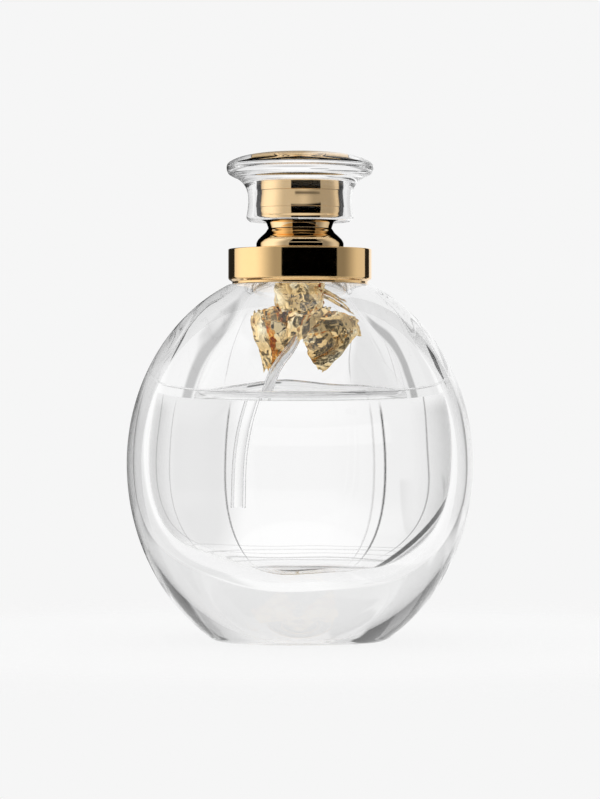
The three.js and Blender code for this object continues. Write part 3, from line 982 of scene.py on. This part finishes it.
def finish_cad_nodes():
    """Materials, smooth shading and softened edges for the CAD nodes that stay in the picture."""
    sharp_from = math.radians(35)
    edge_width = 0.05 * MM
    looks = {
        "inlet_ball": STEEL,
        "return_spring": STEEL,
        "piston_spring": STEEL,
        "piston": CLEAR_RESIN,
        "pump_turret": RESIN,
        "neck_gasket": RUBBER,
        "actuator_core": RESIN,
        "actuator_shell": GILT,
        "spray_nozzle": RESIN,
    }
    for node, material in looks.items():
        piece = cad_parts[node]
        piece.data.materials.clear()
        piece.data.materials.append(material)
        piece.data.polygons.foreach_set("use_smooth", [True] * len(piece.data.polygons))
        piece.data.set_sharp_from_angle(angle=sharp_from)
        edges = piece.modifiers.new("soft_edges", "BEVEL")
        edges.width = edge_width
        edges.segments = 2
        edges.limit_method = "ANGLE"
        edges.angle_limit = sharp_from


# ---------------------------------------------------------------- studio


def studio_floor():
    """A pale floor that fades into the backdrop."""
    radius = 0.16
    fades_from = 0.07
    sides = 96
    rim = np.linspace(0, TURN, sides + 1)[:-1]
    vertices = [(0, 0, 0)] + [(radius * math.cos(a), radius * math.sin(a), 0) for a in rim]
    faces = [(0, 1 + k, 1 + (k + 1) % sides) for k in range(sides)]
    shader = Shader("studio_floor", Roughness=0.9, Emission_Strength=0.85)
    shader.surface.inputs["Base Color"].default_value = (0.1, 0.1, 0.1, 1)
    shader.surface.inputs["Specular IOR Level"].default_value = 0.0
    shader.surface.inputs["Emission Color"].default_value = (1, 1, 1, 1)
    length = shader.node("ShaderNodeVectorMath", [(0, shader.place())], operation="LENGTH")
    shader.feed("Alpha", shader.fade(length.outputs["Value"], fades_from, radius))
    floor = new_object("studio_floor", vertices, faces, [shader.material], smooth=False)


# Cards round the bottle: the bearing of the middle in degrees from straight behind the camera, to the right
# positive, half the width, the elevation of the middle, half the height, the softness of the edge, all in
# degrees, and the brightness. A later card hangs in front of an earlier one.
MIRRORED = [
    (-50, 42, 0, 90, 30, 0.42),  # soft grey from the front to the left
    (-131, 12, 0, 90, 14, 0.7),
    (-92, 12, 0, 90, 42, 1.25),  # the brightest light, on the left
    (85, 45, 0, 90, 8, 0.75),  # a dimmer one on the right
    (60, 12, 0, 90, 38, 0.26),
    (16, 45, 0, 62, 1.5, 0.0),  # the black card behind the camera
    (16, 47, 14, 4, 1.5, 0.8),  # and a slit of light across it
    (-148, 17, 0, 90, 1.5, 0.02),  # black flags on both sides of the bottle
    (-172, 8, 0, 90, 2, 0.15),
    (138, 9, 0, 90, 1.5, 0.02),
]
PASSED = [
    (0, 95, 0, 90, 30, 0.85),  # the viewer's side, a little dimmer than the rest
    (-50, 42, 0, 33, 30, 0.6),
    (-92, 12, 0, 33, 42, 1.2),
    (60, 20, 0, 33, 45, 0.4),
    (15.5, 37.5, -15, 24, 1.5, 0.0),  # the black card behind the camera, in two parts
    (20, 30, 30, 11, 6, 0.04),
    (-35, 27, 45, 17, 4, 0.1),  # flags high up on the left
    (-100, 40, 50, 12, 5, 0.08),
    (-148, 17, 3, 1.6, 0.6, 0.03),  # thin black flags on both sides of the bottle
    (138, 9, 3, 1.6, 0.6, 0.03),
    (0, 180, -55, 15, 12, 0.5),  # grey all round below
    (130, 20, 0, 34, 16, 0.85),  # pale greys behind the bottle, on the right
    (123, 3.5, 0, 34, 4, 0.45),
    (162, 6, -3, 11, 5, 0.82),
    (-138, 24, 0, 40, 16, 0.9),  # on the left
    (-124, 5, 0, 34, 6, 0.5),
    (180, 70, 40, 17, 8, 0.82),  # and high up
    (-169, 5, -17, 2.5, 1, 0.15),  # a narrow dark flag low behind the bottle
]
OPEN_LIGHT = 1.0  # where there is no card


def studio_light():
    """One world light. The cards show in what mirrors or bends light; the camera sees a plain backdrop."""
    world = bpy.data.worlds.new("studio")
    bpy.context.scene.world = world
    world.use_nodes = True
    tree = world.node_tree

    def add(kind, **properties):
        node = tree.nodes.new(kind)
        for key, value in properties.items():
            setattr(node, key, value)
        return node

    def wire(node, values, output=0):
        for socket, value in values:
            if isinstance(value, bpy.types.NodeSocket):
                tree.links.new(value, node.inputs[socket])
            else:
                node.inputs[socket].default_value = value
        return node.outputs[output]

    def calculate(operation, *values):
        return wire(add("ShaderNodeMath", operation=operation), list(enumerate(values)))

    def mix(factor, first, second):
        return wire(add("ShaderNodeMix", data_type="FLOAT"), [(0, factor), (2, first), (3, second)])

    def inside(distance, half, softness):
        """1 within half of a card's size from its middle, falling to 0 over the softness."""
        node = add("ShaderNodeMapRange", interpolation_type="SMOOTHSTEP")
        return wire(node, [("Value", distance), ("From Min", half + softness), ("From Max", half)])

    def hung(cards):
        light = OPEN_LIGHT
        for bearing_middle, half_width, middle, half_height, softness, brightness in cards:
            turned_away = calculate("WRAP", calculate("SUBTRACT", bearing, bearing_middle), 180.0, -180.0)
            across = inside(calculate("ABSOLUTE", turned_away), half_width, softness)
            raised = calculate("ABSOLUTE", calculate("SUBTRACT", elevation, middle))
            cover = calculate("MULTIPLY", across, inside(raised, half_height, softness))
            light = mix(cover, light, brightness)
        return light

    direction = add("ShaderNodeSeparateXYZ")
    wire(direction, [(0, add("ShaderNodeTexCoord").outputs["Generated"])])
    degrees = 360 / TURN
    toward_viewer = calculate("MULTIPLY", direction.outputs["Y"], -1.0)
    bearing = calculate("MULTIPLY", calculate("ARCTAN2", direction.outputs["X"], toward_viewer), degrees)
    elevation = calculate("MULTIPLY", calculate("ARCSINE", direction.outputs["Z"]), degrees)
    path = add("ShaderNodeLightPath").outputs
    through_glass = calculate("GREATER_THAN", path["Transmission Depth"], 0.5)
    scattered = calculate("GREATER_THAN", path["Diffuse Depth"], 0.5)
    lit = mix(scattered, mix(through_glass, hung(MIRRORED), hung(PASSED)), OPEN_LIGHT)
    wire(tree.nodes["Background"], [("Color", mix(path["Is Camera Ray"], lit, BACKDROP))])


def camera():
    data = bpy.data.cameras.new("camera")
    data.sensor_width = SENSOR
    data.lens = SENSOR * CAMERA_DISTANCE / VIEW_HEIGHT
    data.clip_start = 0.01
    data.clip_end = 20
    viewer = bpy.data.objects.new("camera", data)
    viewer.location = (0, -CAMERA_DISTANCE, CAMERA_HEIGHT)
    viewer.rotation_euler = (math.pi / 2, 0, 0)
    bpy.context.scene.collection.objects.link(viewer)
    bpy.context.scene.camera = viewer


def render_settings():
    scene = bpy.context.scene
    scene.view_settings.view_transform = "Standard"
    scene.cycles.max_bounces = 32
    scene.cycles.transmission_bounces = 32
    scene.cycles.glossy_bounces = 24
    scene.cycles.transparent_max_bounces = 32


glass_body()
liquid()
dip_tube()
gold_leaf()
pump_barrel()
pump_stem()
crimp_ferrule()
gilt_collar()
spigot_insert()
grip_band()
cap_metal()
cap_lining()
cap_crystal()
finish_cad_nodes()
studio_floor()
studio_light()
camera()
render_settings()
